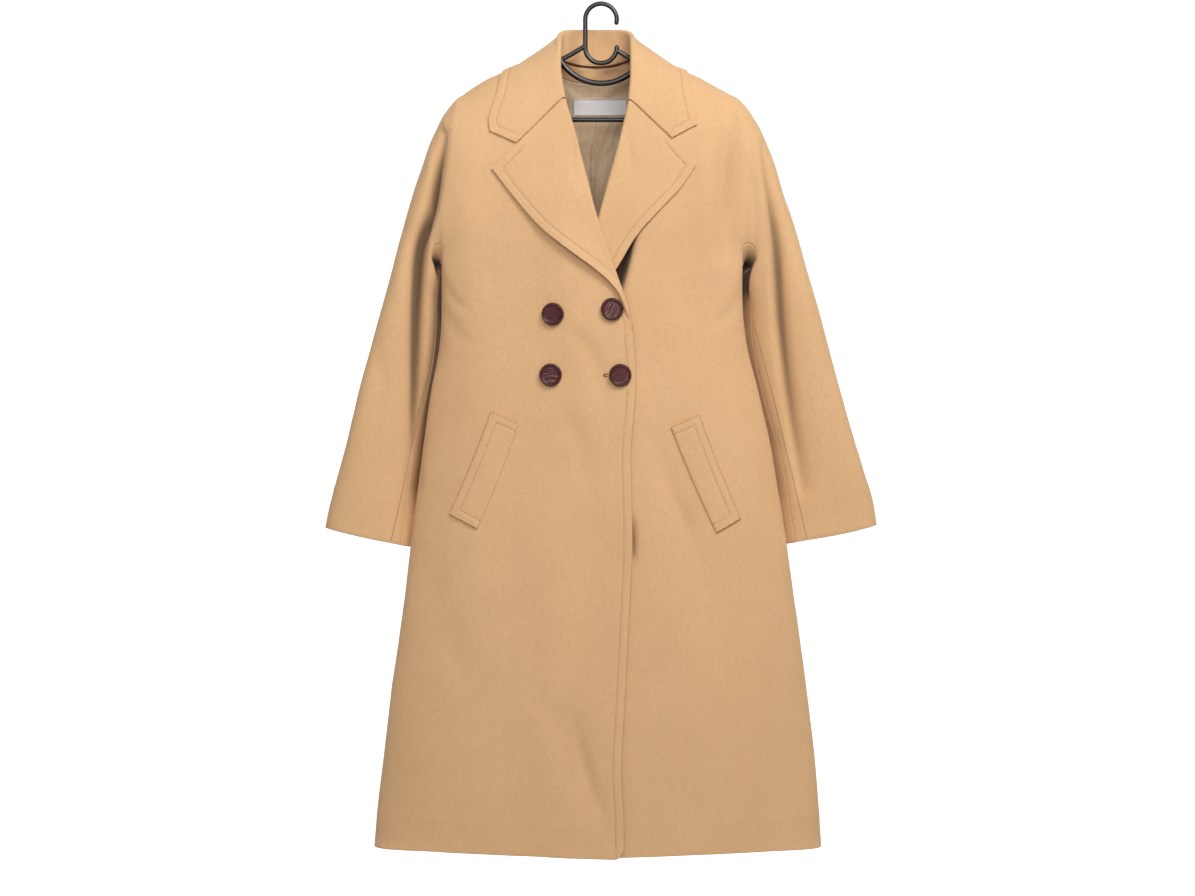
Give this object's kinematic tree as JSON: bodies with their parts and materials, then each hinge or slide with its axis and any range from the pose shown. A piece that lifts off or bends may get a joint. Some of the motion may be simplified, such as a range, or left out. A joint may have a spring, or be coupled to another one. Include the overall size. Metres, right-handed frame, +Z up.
{
  "type": "overcoat on a hanger",
  "caption": "Long double-breasted wool overcoat with notched lapels, cut-on sleeves and slanted welt pockets, hanging on a moulded plastic hanger.",
  "frame": {"origin": "inside of the hanger's hook, where a rail carries it", "axes": "+Z up out of the hook, the coat's front faces -Y, +X is the wearer's left"},
  "size_m": [0.7995, 0.1372, 1.2325],
  "materials": {
    "wool": "napped camel wool",
    "lining": "satin lining",
    "label": "woven, blank",
    "button": "polished, streaked",
    "hanger_plastic": "moulded, slightly glossy"
  },
  "bodies": {
    "root": {"front_right": "wool", "front_left": "wool", "back_right": "wool", "back_left": "wool", "under_sleeve_right": "wool", "under_sleeve_left": "wool", "collar": "wool", "lapel_right": "wool", "lapel_left": "wool", "pocket_welt_right": "wool", "pocket_welt_left": "wool", "neck_facing": "wool", "back_lining": "lining", "neck_label": "label", "button_1": "button", "button_2": "button", "button_3": "button", "button_4": "button", "hanger": "hanger_plastic"}
  },
  "joints": []
}
